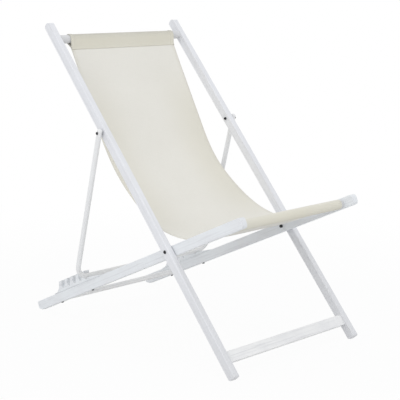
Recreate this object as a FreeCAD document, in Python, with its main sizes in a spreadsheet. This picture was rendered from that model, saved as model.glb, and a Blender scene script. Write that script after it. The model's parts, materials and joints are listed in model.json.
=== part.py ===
import FreeCAD, Part
import math
import os

import Sketcher
from FreeCAD import Placement, Rotation, Vector

# Folding garden chair: two wooden frames crossed at one pivot, a bent tube prop
# behind the back that drops into notched racks, and a canvas sling between two dowels.
# Millimetres. +Z up, the sitter faces -Y, and +X is the sitter's left.
# The origin is on the floor under the middle of the chair.

doc = FreeCAD.newDocument("FoldingGardenChair")

# Driving dimensions: name, value, meaning
SIZES = (
    ("frame_width", 576, "across the outer faces of the back rails"),
    ("pivot_height", 337, "main pivot above the floor"),
    ("back_angle", 49, "degrees, back rails from the floor"),
    ("seat_angle", 24.8, "degrees, seat rails from the floor"),
    ("back_reach", 888, "main pivot to the top tip of a back rail"),
    ("seat_reach", 327, "main pivot to the front tip of a seat rail"),
    ("seat_drop", 3, "middle of a seat rail below the main pivot"),
    ("rail_thick", 22, "rails, measured across the chair"),
    ("back_depth", 30, "back rails, measured in side view"),
    ("seat_depth", 34, "seat rails, measured in side view"),
    ("rail_gap", 2, "between a back rail and the seat rail inside it"),
    ("tip_round", 12, "corner radius of the upper rail ends in side view"),
    ("foot_round", 7, "corner radius of the feet in side view"),
    ("edge_round", 3, "rounding along the rails"),
    ("back_heel", 5, "depth of the flat trimmed on a front foot"),
    ("seat_heel", 8, "depth of the flat trimmed on a rear foot"),
    ("dowel_dia", 28, "dowels that carry the sling"),
    ("dowel_tenon", 18, "round tenon of a dowel"),
    ("tenon_depth", 16, "tenons into the rails"),
    ("top_dowel_at", 824, "main pivot to the top dowel along the back rail"),
    ("front_dowel_at", 275, "main pivot to the front dowel along the seat rail"),
    ("slat_width", 36, "stretcher slats, along the rail"),
    ("slat_thick", 15, "stretcher slats, through the rail's depth"),
    ("slat_round", 2.5, "rounding along the slats"),
    ("slat_shoulder", 3, "step from a slat to its tenon"),
    ("front_slat_at", 373, "main pivot to the front stretcher"),
    ("rear_slat_at", 604, "main pivot to the rear stretcher"),
    ("rear_slat_lift", 1.5, "rear stretcher above the underside of the seat rail"),
    ("rack_height", 35.5, "racks above the seat rails"),
    ("rack_toe", 2, "blunt ends of a rack"),
    ("front_run", 74, "front slot to the front end of a rack"),
    ("rear_toe", 30, "length of a rack's rear toe"),
    ("front_lip", 12.5, "low lip ahead of the front slot"),
    ("rear_cove", 36, "hollow at a rack's rear end"),
    ("end_tooth", 16, "rear tooth of a rack, at the top"),
    ("slot_pitch", 35.4, "from slot to slot"),
    ("slot_count", 5, "slots in each rack"),
    ("slot_floor", 8.5, "wood left under a slot"),
    ("slot_clear", 0.5, "prop tube to slot, all round"),
    ("prop_seat_at", 458, "main pivot to the prop's slot along the seat rail"),
    ("front_screw_at", 11, "front rack screw ahead of the front slot"),
    ("rear_screw_at", 20.8, "rear rack screw behind the rear tooth"),
    ("rack_screw_dia", 4.5, "rack screws"),
    ("rack_screw_head", 9, "rack screw heads"),
    ("rack_screw_cap", 3, "height of a rack screw's head"),
    ("rack_screw_bite", 5, "rack screws into the rack"),
    ("rack_screw_edge", 6, "rack screws from the outer face of a seat rail"),
    ("prop_at", 447, "main pivot to the prop's pivot along the back rail"),
    ("prop_dia", 17, "prop tube"),
    ("prop_wall", 1.5, "wall of the prop tube"),
    ("prop_bend", 46, "bends of the prop tube, at the middle of the tube"),
    ("prop_gap", 5, "between a back rail and the prop"),
    ("prop_rise", 6, "straight end of the prop above its bolt"),
    ("main_bolt_dia", 6, "main pivot bolts"),
    ("main_head_dia", 11, "main bolt heads"),
    ("main_head_rise", 3.4, "height of a main bolt head"),
    ("prop_bolt_dia", 5, "prop pivot bolts"),
    ("prop_head_dia", 9.5, "prop bolt heads"),
    ("prop_head_rise", 3, "height of a prop bolt head"),
    ("head_crown", 0.55, "share of a bolt head's width that is level on top"),
    ("head_rim", 0.45, "share of a bolt head's height that is upright at the rim"),
    ("bolt_tail", 2, "thread past a nut"),
    ("main_nut_span", 10, "main nuts across the flats"),
    ("main_nut_thick", 5, "main nuts"),
    ("prop_nut_span", 8, "prop nuts across the flats"),
    ("prop_nut_thick", 4, "prop nuts"),
    ("washer_thick", 1.6, "washers under the nuts"),
    ("washer_rim", 3.2, "washers and spacers, beyond the bolt"),
    ("run_clear", 0.05, "radial clearance where a piece turns on a bolt"),
    ("seat_clear", 0.02, "radial clearance of a tight hole"),
    ("face_clear", 0.1, "between faces that turn past each other"),
    ("sling_width", 458, "finished width of the sling"),
    ("sling_thick", 2, "canvas"),
    ("sling_slack", 0.3, "tunnel to dowel"),
    ("tunnel_seam", 46, "dowel's middle to the tunnel seam"),
    ("back_bend_y", 291, "upper bend of the sling behind the main pivot"),
    ("back_bend_z", 150, "upper bend of the sling above the main pivot"),
    ("back_bend_radius", 545, "upper bend of the sling"),
    ("seat_bend_y", -19.5, "seat bend of the sling behind the main pivot"),
    ("seat_bend_z", 4.7, "seat bend of the sling above the main pivot"),
    ("seat_bend_radius", 330, "seat bend of the sling"),
)

# Places that follow from the driving dimensions
LAYOUT = (
    ("back_out", "Sizes.frame_width / 2"),
    ("back_in", "Layout.back_out - Sizes.rail_thick"),
    ("seat_out", "Layout.back_in - Sizes.rail_gap"),
    ("seat_in", "Layout.seat_out - Sizes.rail_thick"),
    ("seat_low", "-Sizes.seat_drop - Sizes.seat_depth / 2"),
    ("seat_top", "Layout.seat_low + Sizes.seat_depth"),
    ("back_foot", "(Sizes.pivot_height + Sizes.back_heel"
                  " - Sizes.back_depth / 2 * cos(Sizes.back_angle)) / sin(Sizes.back_angle)"),
    ("seat_foot", "(Sizes.pivot_height + Sizes.seat_heel"
                  " + Layout.seat_low * cos(Sizes.seat_angle)) / sin(Sizes.seat_angle)"),
    ("reach_rear", "(Layout.seat_foot - Sizes.foot_round) * cos(Sizes.seat_angle)"
                   " + (Layout.seat_top - Sizes.foot_round) * sin(Sizes.seat_angle) + Sizes.foot_round"),
    ("reach_front", "(Sizes.seat_reach - Sizes.tip_round) * cos(Sizes.seat_angle)"
                    " - (Layout.seat_low + Sizes.tip_round) * sin(Sizes.seat_angle) + Sizes.tip_round"),
    ("pivot_y", "(Layout.reach_front - Layout.reach_rear) / 2"),
    ("rear_slat_mid", "Layout.seat_low + Sizes.rear_slat_lift + Sizes.slat_thick / 2"),
    ("slot_half", "Sizes.prop_dia / 2 + Sizes.slot_clear"),
    ("slot_mid", "Layout.seat_top + Sizes.slot_floor + Layout.slot_half"),
    ("slot_lean", "(Layout.seat_top + Sizes.rack_height - Layout.slot_mid) * tan(Sizes.seat_angle)"),
    ("slot_along", "Layout.slot_half / cos(Sizes.seat_angle)"),
    ("rack_top", "Layout.seat_top + Sizes.rack_height"),
    ("rack_front", "Sizes.prop_seat_at - Layout.slot_lean"),
    ("rack_rear", "Sizes.prop_seat_at + Sizes.slot_pitch * (Sizes.slot_count - 1)"
                  " - Layout.slot_lean + Layout.slot_along + Sizes.end_tooth"),
    ("rack_heel", "Layout.rack_rear + (Sizes.rack_height - Sizes.rack_toe) * tan(Sizes.seat_angle)"),
    ("tube_y", "Sizes.prop_seat_at * cos(Sizes.seat_angle) + Layout.slot_mid * sin(Sizes.seat_angle)"),
    ("tube_z", "Layout.slot_mid * cos(Sizes.seat_angle) - Sizes.prop_seat_at * sin(Sizes.seat_angle)"),
    ("prop_y", "Sizes.prop_at * cos(Sizes.back_angle)"),
    ("prop_z", "Sizes.prop_at * sin(Sizes.back_angle)"),
    ("prop_long", "sqrt((Layout.tube_y - Layout.prop_y)^2 + (Layout.tube_z - Layout.prop_z)^2)"),
    ("prop_angle", "atan((Layout.tube_y - Layout.prop_y) / (Layout.prop_z - Layout.tube_z))"),
    ("prop_face", "Layout.back_out + Sizes.prop_gap"),
    ("arm_x", "Layout.prop_face + Sizes.prop_dia / 2"),
)


def fill_sheet(name, rows):
    sheet = doc.addObject("Spreadsheet::Sheet", name)
    for number, (alias, text, note) in enumerate(rows, start=1):
        sheet.set(f"A{number}", alias)
        sheet.set(f"B{number}", text)
        sheet.set(f"C{number}", note)
        sheet.setAlias(f"B{number}", alias)
    doc.recompute()
    return sheet


sizes = fill_sheet("Sizes", [(alias, str(value), note) for alias, value, note in SIZES])
layout = fill_sheet("Layout", [(alias, "=" + formula, "follows") for alias, formula in LAYOUT])


def size(alias):
    return float(sizes.get(alias))


def place(alias):
    return float(getattr(layout, alias))


# Frames of reference: each wooden frame and the prop has its own, turned about X
FRAMES = {
    "back": ("Layout.pivot_y", "Sizes.pivot_height", "Sizes.back_angle"),
    "seat": ("Layout.pivot_y", "Sizes.pivot_height", "-Sizes.seat_angle"),
    "prop": ("Layout.pivot_y + Layout.prop_y", "Sizes.pivot_height + Layout.prop_z", "Layout.prop_angle"),
    "sling": ("Layout.pivot_y", "Sizes.pivot_height", "0"),
}


def stand_in_frame(piece, frame):
    base_y, base_z, turn = FRAMES[frame]
    piece.Placement = Placement(Vector(), Rotation(Vector(1, 0, 0), 1))
    piece.setExpression("Placement.Base.y", base_y)
    piece.setExpression("Placement.Base.z", base_z)
    piece.setExpression("Placement.Rotation.Angle", turn)


def new_body(label, frame):
    body = doc.addObject("PartDesign::Body", label)
    body.Label = label
    stand_in_frame(body, frame)
    return body


def new_sketch(body, role, shift="0", turn=None):
    sketch = body.newObject("Sketcher::SketchObject", f"{body.Name}_sketch")
    plane = next(item for item in body.Origin.OriginFeatures if item.Role == role)
    sketch.AttachmentSupport = [(plane, "")]
    sketch.MapMode = "FlatFace"
    sketch.setExpression("AttachmentOffset.Base.z", shift)
    if turn:
        sketch.setExpression("AttachmentOffset.Rotation.Angle", turn)
    doc.recompute()
    return sketch


def pin_point(sketch, curve, end, across, up):
    for kind, formula in (("DistanceX", across), ("DistanceY", up)):
        value = float(sketch.evalExpression(formula))
        index = sketch.addConstraint(Sketcher.Constraint(kind, -1, 1, curve, end, value))
        sketch.setExpression(f"Constraints[{index}]", formula)


def draw_outline(sketch, corners):
    points = [Vector(*(float(sketch.evalExpression(part)) for part in corner), 0) for corner in corners]
    lines = []
    for start, finish in zip(points, points[1:] + points[:1]):
        lines.append(sketch.addGeometry(Part.LineSegment(start, finish)))
    for line, following in zip(lines, lines[1:] + lines[:1]):
        sketch.addConstraint(Sketcher.Constraint("Coincident", line, 2, following, 1))
    for line, (across, up) in zip(lines, corners):
        pin_point(sketch, line, 1, across, up)


def draw_box(sketch, middle, spans):
    low_u, high_u = (f"{middle[0]} {sign} ({spans[0]}) / 2" for sign in "-+")
    low_v, high_v = (f"{middle[1]} {sign} ({spans[1]}) / 2" for sign in "-+")
    draw_outline(sketch, [(low_u, low_v), (high_u, low_v), (high_u, high_v), (low_u, high_v)])


def draw_circle(sketch, middle, diameter):
    centre = Vector(*(float(sketch.evalExpression(part)) for part in middle), 0)
    value = float(sketch.evalExpression(diameter))
    circle = sketch.addGeometry(Part.Circle(centre, Vector(0, 0, 1), value / 2))
    pin_point(sketch, circle, 3, *middle)
    index = sketch.addConstraint(Sketcher.Constraint("Diameter", circle, value))
    sketch.setExpression(f"Constraints[{index}]", diameter)


def pad(body, sketch, length):
    feature = body.newObject("PartDesign::Pad", f"{body.Name}_pad")
    feature.Profile = sketch
    feature.setExpression("Length", length)
    doc.recompute()
    return feature


def pocket(body, sketch, length, flipped=True):
    before = body.Shape.Volume
    feature = body.newObject("PartDesign::Pocket", f"{body.Name}_pocket")
    feature.Profile = sketch
    feature.Reversed = flipped
    feature.setExpression("Length", length)
    doc.recompute()
    if body.Shape.Volume >= before:
        raise RuntimeError(f"a pocket of {body.Label} cuts nothing")
    return feature


def round_edges(body, feature, radius, wanted):
    names = [f"Edge{number}" for number, edge in enumerate(feature.Shape.Edges, start=1) if wanted(edge)]
    fillet = body.newObject("PartDesign::Fillet", f"{body.Name}_round")
    fillet.Base = (feature, names)
    fillet.setExpression("Radius", radius)
    doc.recompute()
    return fillet


def crosswise(edge):
    return abs(edge.Vertexes[0].X - edge.Vertexes[-1].X) > 1


def near(edge, along, up):
    middle = edge.CenterOfMass
    return crosswise(edge) and abs(middle.y - along) < 0.5 and abs(middle.z - up) < 0.5


def mirrored(label, source):
    copy = doc.addObject("Part::Mirroring", label)
    copy.Label = label
    copy.Source = source
    copy.Normal = Vector(1, 0, 0)
    return copy


def pair(label, source):
    twin = mirrored(f"{label}_twin", source)
    both = doc.addObject("Part::Compound", label)
    both.Label = label
    both.Links = [source, twin]
    return both


# Rails: a bar with eased edges, cut to its rounded side view; the right one mirrors the left
TENON_SPANS = ("Sizes.slat_width - 2 * Sizes.slat_shoulder", "Sizes.slat_thick - 2 * Sizes.slat_shoulder")
RACK_SCREWS = (
    "Sizes.prop_seat_at - Sizes.front_screw_at",
    "Layout.rack_rear + Sizes.rear_screw_at",
)
SCREW_LINE = "Layout.seat_out - Sizes.rack_screw_edge"


def eased_bar(label, frame, inner, outline):
    bar = new_body(f"{label}_bar", frame)
    side = new_sketch(bar, "YZ_Plane", inner)
    draw_outline(side, outline)
    blank = pad(bar, side, "Sizes.rail_thick")
    longest = max(edge.Length for edge in blank.Shape.Edges) / 2
    round_edges(bar, blank, "Sizes.edge_round", lambda edge: edge.Length > longest)
    return bar


def cut_to_side_view(label, frame, inner, outline, bar, tips, feet):
    view = new_body(f"{label}_side", frame)
    side = new_sketch(view, "YZ_Plane", inner)
    draw_outline(side, outline)
    shape = pad(view, side, "Sizes.rail_thick")
    for radius, corners in (("Sizes.tip_round", tips), ("Sizes.foot_round", feet)):
        shape = round_edges(view, shape, radius, lambda edge: any(near(edge, *corner) for corner in corners))
    rail = doc.addObject("Part::Common", label)
    rail.Label = label
    rail.Base = bar
    rail.Tool = view
    doc.recompute()
    return rail


def back_rail():
    label, frame, inner = "back_rail_left", "back", "Layout.back_in"
    half = "Sizes.back_depth / 2"
    outline = [
        ("Sizes.back_reach", f"-{half}"),
        ("Sizes.back_reach", half),
        ("-Layout.back_foot", half),
        ("-Layout.back_foot", f"Sizes.back_heel / cos(Sizes.back_angle) - {half}"),
        ("Sizes.back_heel / sin(Sizes.back_angle) - Layout.back_foot", f"-{half}"),
    ]
    bar = eased_bar(label, frame, inner, outline)
    bolt_holes = new_sketch(bar, "YZ_Plane", inner)
    draw_circle(bolt_holes, ("0", "0"), "Sizes.main_bolt_dia + 2 * Sizes.run_clear")
    draw_circle(bolt_holes, ("Sizes.prop_at", "0"), "Sizes.prop_bolt_dia + 2 * Sizes.seat_clear")
    pocket(bar, bolt_holes, "Sizes.rail_thick")
    sockets = new_sketch(bar, "YZ_Plane", inner)
    draw_circle(sockets, ("Sizes.top_dowel_at", "0"), "Sizes.dowel_tenon + 2 * Sizes.seat_clear")
    draw_box(sockets, ("-Sizes.front_slat_at", "0"), TENON_SPANS)
    pocket(bar, sockets, "Sizes.tenon_depth")
    level = size("back_depth") / 2
    tips = [(size("back_reach"), -level), (size("back_reach"), level)]
    return cut_to_side_view(label, frame, inner, outline, bar, tips, [(-place("back_foot"), level)])


def seat_rail():
    label, frame, inner = "seat_rail_left", "seat", "Layout.seat_in"
    outline = [
        ("-Sizes.seat_reach", "Layout.seat_low"),
        ("Layout.seat_foot - Sizes.seat_heel / sin(Sizes.seat_angle)", "Layout.seat_low"),
        ("Layout.seat_foot", "Layout.seat_low + Sizes.seat_heel / cos(Sizes.seat_angle)"),
        ("Layout.seat_foot", "Layout.seat_top"),
        ("-Sizes.seat_reach", "Layout.seat_top"),
    ]
    bar = eased_bar(label, frame, inner, outline)
    bolt_hole = new_sketch(bar, "YZ_Plane", inner)
    draw_circle(bolt_hole, ("0", "0"), "Sizes.main_bolt_dia + 2 * Sizes.seat_clear")
    pocket(bar, bolt_hole, "Sizes.rail_thick")
    sockets = new_sketch(bar, "YZ_Plane", inner)
    draw_circle(sockets, ("-Sizes.front_dowel_at", "-Sizes.seat_drop"),
                "Sizes.dowel_tenon + 2 * Sizes.seat_clear")
    draw_box(sockets, ("Sizes.rear_slat_at", "Layout.rear_slat_mid"), TENON_SPANS)
    pocket(bar, sockets, "Sizes.tenon_depth")
    screw_holes = new_sketch(bar, "XY_Plane", "Layout.seat_low")
    for along in RACK_SCREWS:
        draw_circle(screw_holes, (SCREW_LINE, along), "Sizes.rack_screw_dia + 2 * Sizes.seat_clear")
    pocket(bar, screw_holes, "Sizes.seat_depth")
    tips = [(-size("seat_reach"), place(level)) for level in ("seat_low", "seat_top")]
    feet = [(place("seat_foot"), place("seat_top"))]
    return cut_to_side_view(label, frame, inner, outline, bar, tips, feet)


# Racks: a low nose, a hollowed rear end, and slots that stand upright when the chair is open
def rack():
    body = new_body("rack_left", "seat")
    side = new_sketch(body, "YZ_Plane", "Layout.seat_in")
    toe_level = "Layout.seat_top + Sizes.rack_toe"
    draw_outline(side, [
        ("Sizes.prop_seat_at - Sizes.front_run", "Layout.seat_top"),
        ("Layout.rack_heel + Sizes.rear_toe", "Layout.seat_top"),
        ("Layout.rack_heel + Sizes.rear_toe", toe_level),
        ("Layout.rack_heel", toe_level),
        ("Layout.rack_rear", "Layout.rack_top"),
        ("Layout.rack_front", "Layout.rack_top"),
        ("Sizes.prop_seat_at", "Layout.seat_top + Sizes.front_lip"),
        ("Sizes.prop_seat_at - Sizes.front_run", toe_level),
    ])
    block = pad(body, side, "Sizes.rail_thick")
    toe_up = place("seat_top") + size("rack_toe")
    rear = place("rack_heel")
    round_edges(body, block, "Sizes.rear_cove", lambda edge: near(edge, rear, toe_up))

    # drawn upright, so the sketch is turned back by the seat's angle
    slot = new_sketch(body, "YZ_Plane", "Layout.seat_in", "Sizes.seat_angle")
    along = "(Sizes.prop_seat_at * cos(Sizes.seat_angle) + Layout.slot_mid * sin(Sizes.seat_angle))"
    level = "(Layout.slot_mid * cos(Sizes.seat_angle) - Sizes.prop_seat_at * sin(Sizes.seat_angle))"
    mouth = f"{level} + 2 * Sizes.rack_height"
    draw_outline(slot, [
        (f"{along} - Layout.slot_half", level),
        (f"{along} + Layout.slot_half", level),
        (f"{along} + Layout.slot_half", mouth),
        (f"{along} - Layout.slot_half", mouth),
    ])
    cut = pocket(body, slot, "Sizes.rail_thick")
    floor = new_sketch(body, "YZ_Plane", "Layout.seat_in", "Sizes.seat_angle")
    draw_circle(floor, (along, level), "2 * Layout.slot_half")
    hollow = pocket(body, floor, "Sizes.rail_thick")
    row = body.newObject("PartDesign::LinearPattern", "rack_slots")
    row.Originals = [cut, hollow]
    row.Direction = (next(item for item in body.Origin.OriginFeatures if item.Role == "Y_Axis"), [""])
    row.setExpression("Length", "Sizes.slot_pitch * (Sizes.slot_count - 1)")
    row.setExpression("Occurrences", "Sizes.slot_count")
    body.Tip = row
    doc.recompute()

    screw_holes = new_sketch(body, "XY_Plane", "Layout.seat_top")
    for screw_along in RACK_SCREWS:
        draw_circle(screw_holes, (SCREW_LINE, screw_along), "Sizes.rack_screw_dia + 2 * Sizes.seat_clear")
    pocket(body, screw_holes, "Sizes.rack_screw_bite + Sizes.seat_clear")
    return body


# Cross pieces
def dowel(label, frame, along, up, shoulder):
    body = new_body(label, frame)
    ends = (
        ("Sizes.dowel_dia", shoulder),
        ("Sizes.dowel_tenon", f"{shoulder} + Sizes.tenon_depth - Sizes.seat_clear"),
    )
    for diameter, half in ends:
        section = new_sketch(body, "YZ_Plane")
        draw_circle(section, (along, up), diameter)
        pad(body, section, f"2 * ({half})").Midplane = True
    doc.recompute()
    return body


def slat(label, frame, along, up, shoulder):
    body = new_body(label, frame)
    section = new_sketch(body, "YZ_Plane")
    draw_box(section, (along, up), ("Sizes.slat_width", "Sizes.slat_thick"))
    board = pad(body, section, f"2 * ({shoulder})")
    board.Midplane = True
    doc.recompute()
    round_edges(body, board, "Sizes.slat_round", crosswise)
    tenon = new_sketch(body, "YZ_Plane")
    clear = "- 2 * Sizes.seat_clear"
    draw_box(tenon, (along, up), tuple(f"{span} {clear}" for span in TENON_SPANS))
    pad(body, tenon, f"2 * ({shoulder} + Sizes.tenon_depth - Sizes.seat_clear)").Midplane = True
    doc.recompute()
    return body


# Hardware: bolts and screws are turned profiles, nuts and washers are bored blanks
def bolt(label, frame, along, kind, tail, under_head):
    shank = f"Sizes.{kind}_bolt_dia / 2"
    head = f"Sizes.{kind}_head_dia / 2"
    crown = f"{under_head} + Sizes.{kind}_head_rise"
    body = new_body(label, frame)
    outline = new_sketch(body, "XY_Plane")
    draw_outline(outline, [
        (tail, along),
        (under_head, along),
        (crown, along),
        (crown, f"{along} + Sizes.head_crown * {head}"),
        (f"{under_head} + Sizes.head_rim * Sizes.{kind}_head_rise", f"{along} + {head}"),
        (under_head, f"{along} + {head}"),
        (under_head, f"{along} + {shank}"),
        (tail, f"{along} + {shank}"),
    ])
    feature = body.newObject("PartDesign::Revolution", f"{label}_turn")
    feature.Profile = outline
    feature.ReferenceAxis = (outline, ["Edge1"])
    doc.recompute()
    return body


def bored(label, frame, blank, hole, start, length, along):
    ring = doc.addObject("Part::Cut", label)
    ring.Base = blank
    ring.Tool = hole
    hole.setExpression("Height", length)
    blank.setExpression("Height", length)
    for solid in (blank, hole):
        solid.Placement = Placement(Vector(), Rotation(Vector(0, 1, 0), 90))
        solid.setExpression("Placement.Base.x", start)
        solid.setExpression("Placement.Base.y", along)
    stand_in_frame(ring, frame)
    doc.recompute()
    return ring


def washer(label, frame, kind, start, length, along):
    blank = doc.addObject("Part::Cylinder", f"{label}_blank")
    blank.setExpression("Radius", f"Sizes.{kind}_bolt_dia / 2 + Sizes.washer_rim")
    hole = doc.addObject("Part::Cylinder", f"{label}_hole")
    hole.setExpression("Radius", f"Sizes.{kind}_bolt_dia / 2 + Sizes.seat_clear")
    return bored(label, frame, blank, hole, start, length, along)


def nut(label, frame, kind, start, along):
    blank = doc.addObject("Part::Prism", f"{label}_blank")
    blank.Polygon = 6
    blank.setExpression("Circumradius", f"Sizes.{kind}_nut_span / 2 / cos(30)")
    hole = doc.addObject("Part::Cylinder", f"{label}_hole")
    hole.setExpression("Radius", f"Sizes.{kind}_bolt_dia / 2 + Sizes.seat_clear")
    return bored(label, frame, blank, hole, start, f"Sizes.{kind}_nut_thick", along)


def pivot_set(kind, frame, along, inner, gap_from, gap, under_head):
    washer_from = f"{inner} - Sizes.washer_thick"
    nut_from = f"{washer_from} - Sizes.{kind}_nut_thick"
    tail = f"{nut_from} - Sizes.bolt_tail"
    shim = washer(f"{kind}_nut_washer", frame, kind, washer_from, "Sizes.washer_thick", along)
    pieces = (
        (f"{kind}_bolts", bolt(f"{kind}_bolt", frame, along, kind, tail, under_head)),
        (f"{kind}_nuts", nut(f"{kind}_nut", frame, kind, nut_from, along)),
        (f"{kind}_nut_washers", shim),
        (f"{kind}_spacers", washer(f"{kind}_spacer", frame, kind, gap_from, gap, along)),
    )
    return [pair(label, piece) for label, piece in pieces]


def rack_screws():
    screws = []
    for number, along in enumerate(RACK_SCREWS, start=1):
        body = new_body(f"rack_screw_{number}", "seat")
        for diameter, base, length in (
            ("Sizes.rack_screw_head", "Layout.seat_low - Sizes.rack_screw_cap", "Sizes.rack_screw_cap"),
            ("Sizes.rack_screw_dia", "Layout.seat_low - Sizes.rack_screw_cap",
             "Sizes.rack_screw_cap + Sizes.seat_depth + Sizes.rack_screw_bite"),
        ):
            section = new_sketch(body, "XY_Plane", base)
            draw_circle(section, (SCREW_LINE, along), diameter)
            pad(body, section, length)
        screws += [body, mirrored(f"rack_screw_{number}_twin", body)]
    group = doc.addObject("Part::Compound", "rack_screws")
    group.Label = "rack_screws"
    group.Links = screws
    return group


# Prop: one tube bent to a U, hollow in its straight runs, with round drilled ends
def prop_path(arm_x, top, low, bend):
    turn = bend * (1 - math.sqrt(0.5))
    edges = []
    corner = Vector(arm_x - turn, 0, low + turn)
    edges.append(Part.LineSegment(Vector(arm_x, 0, top), Vector(arm_x, 0, low + bend)))
    edges.append(Part.Arc(Vector(arm_x, 0, low + bend), corner, Vector(arm_x - bend, 0, low)))
    edges.append(Part.LineSegment(Vector(arm_x - bend, 0, low), Vector(bend - arm_x, 0, low)))
    far_corner = Vector(-corner.x, 0, corner.z)
    edges.append(Part.Arc(Vector(bend - arm_x, 0, low), far_corner, Vector(-arm_x, 0, low + bend)))
    edges.append(Part.LineSegment(Vector(-arm_x, 0, low + bend), Vector(-arm_x, 0, top)))
    return Part.Wire([edge.toShape() for edge in edges])


def prop_tube():
    arm_x, radius, rise = place("arm_x"), size("prop_dia") / 2, size("prop_rise")
    path = prop_path(arm_x, rise, -place("prop_long"), size("prop_bend"))
    ring = Part.Wire(Part.makeCircle(radius, Vector(arm_x, 0, rise)))
    bar = path.makePipeShell([ring], True, True)
    bore = radius - size("prop_wall")
    runs = [edge for edge in path.Edges if isinstance(edge.Curve, Part.Line)]
    for start, finish in ((run.Vertexes[0].Point, run.Vertexes[-1].Point) for run in runs):
        bar = bar.cut(Part.makeCylinder(bore, (finish - start).Length, start, finish - start))
    ends = (Vector(arm_x, 0, rise), Vector(-arm_x, 0, rise))
    caps = [Part.makeSphere(radius, end, Vector(0, 0, 1), 0, 90) for end in ends]
    hole_radius = size("prop_bolt_dia") / 2 + size("run_clear")
    reach = arm_x + radius
    drill = Part.makeCylinder(hole_radius, 2 * reach, Vector(-reach, 0, 0), Vector(1, 0, 0))
    tube = doc.addObject("Part::Feature", "prop_tube")
    tube.Label = "prop_tube"
    tube.Shape = bar.fuse(caps).cut(drill).removeSplitter()
    stand_in_frame(tube, "prop")
    return tube


# Sling: a sheet along straight runs and two bends, with a sewn tunnel round each dowel
def bent_line(points, radii, offset):
    pieces = []
    start = None
    directions = [(finish - begin).normalize() for begin, finish in zip(points, points[1:])]
    for number, direction in enumerate(directions):
        normal = Vector(0, -direction.z, direction.y)
        begin = start or points[number] + normal * offset
        if number == len(radii):
            pieces.append(Part.LineSegment(begin, points[-1] + normal * offset))
            break
        following = directions[number + 1]
        bend = math.acos(direction.dot(following))
        leg = radii[number] * math.tan(bend / 2)
        corner = points[number + 1]
        inward = (following - direction).normalize()
        centre = corner + inward * (radii[number] / math.cos(bend / 2))
        turn_from = corner - direction * leg + normal * offset
        turn_to = corner + following * leg + Vector(0, -following.z, following.y) * offset
        crest = centre - inward * (centre - turn_from).Length
        pieces.append(Part.LineSegment(begin, turn_from))
        pieces.append(Part.Arc(turn_from, crest, turn_to))
        start = turn_to
    return [piece.toShape() for piece in pieces]


def tunnel_face(dowel_middle, seam, radius):
    reach = seam - dowel_middle
    turn = math.acos(radius / reach.Length)
    towards = reach.normalize()
    sideways = Vector(0, -towards.z, towards.y)
    touch = towards * (radius * math.cos(turn))
    spread = sideways * (radius * math.sin(turn))
    one, other = dowel_middle + touch + spread, dowel_middle + touch - spread
    loop = [
        Part.LineSegment(seam, one),
        Part.Arc(one, dowel_middle - towards * radius, other),
        Part.LineSegment(other, seam),
    ]
    return Part.Face(Part.Wire([piece.toShape() for piece in loop]))


def sling():
    back, seat = math.radians(size("back_angle")), math.radians(size("seat_angle"))
    edge = Vector(-size("sling_width") / 2, 0, 0)
    across = edge * -2
    top = edge + Vector(0, math.cos(back), math.sin(back)) * size("top_dowel_at")
    front = (edge + Vector(0, -math.cos(seat), math.sin(seat)) * size("front_dowel_at")
             - Vector(0, math.sin(seat), math.cos(seat)) * size("seat_drop"))
    back_bend = edge + Vector(0, size("back_bend_y"), size("back_bend_z"))
    seat_bend = edge + Vector(0, size("seat_bend_y"), size("seat_bend_z"))
    bends = [size("back_bend_radius"), size("seat_bend_radius")]
    thick = size("sling_thick")
    top_seam = top + (back_bend - top).normalize() * size("tunnel_seam")
    front_seam = front + (seat_bend - front).normalize() * size("tunnel_seam")
    line = [top_seam, back_bend, seat_bend, front_seam]
    near_side = bent_line(line, bends, thick / 2)
    far_side = bent_line(line, bends, -thick / 2)
    caps = []
    for number, end in ((0, 0), (-1, -1)):
        ends = [side[number].Vertexes[end].Point for side in (near_side, far_side)]
        caps.append(Part.LineSegment(*ends).toShape())
    rim = Part.Wire(Part.__sortEdges__(near_side + far_side + caps))
    cloth = Part.Face(rim).extrude(across)
    inner = size("dowel_dia") / 2 + size("sling_slack")
    for middle, seam in ((top, top_seam), (front, front_seam)):
        outward = (seam - middle).normalize()
        outer_loop = tunnel_face(middle, seam + outward * thick * 2, inner + thick)
        inner_loop = tunnel_face(middle, seam - outward * thick * 2, inner)
        cloth = cloth.cut(inner_loop.extrude(across))
        cloth = cloth.fuse(outer_loop.extrude(across).cut(inner_loop.extrude(across)))
    sheet = doc.addObject("Part::Feature", "sling")
    sheet.Label = "sling"
    sheet.Shape = cloth.removeSplitter()
    stand_in_frame(sheet, "sling")
    return sheet


left_back_rail = back_rail()
left_seat_rail = seat_rail()
left_rack = rack()
NODES = [
    left_back_rail,
    mirrored("back_rail_right", left_back_rail),
    dowel("top_dowel", "back", "Sizes.top_dowel_at", "0", "Layout.back_in"),
    slat("front_stretcher", "back", "-Sizes.front_slat_at", "0", "Layout.back_in"),
    left_seat_rail,
    mirrored("seat_rail_right", left_seat_rail),
    dowel("front_dowel", "seat", "-Sizes.front_dowel_at", "-Sizes.seat_drop", "Layout.seat_in"),
    slat("rear_stretcher", "seat", "Sizes.rear_slat_at", "Layout.rear_slat_mid", "Layout.seat_in"),
    left_rack,
    mirrored("rack_right", left_rack),
    rack_screws(),
    prop_tube(),
    *pivot_set("main", "seat", "0", "Layout.seat_in", "Layout.seat_out",
               "Sizes.rail_gap - Sizes.face_clear", "Layout.back_out + Sizes.face_clear"),
    *pivot_set("prop", "back", "Sizes.prop_at", "Layout.back_in", "Layout.back_out",
               "Sizes.prop_gap - Sizes.face_clear", "Layout.prop_face + Sizes.prop_dia + Sizes.face_clear"),
    sling(),
]

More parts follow.
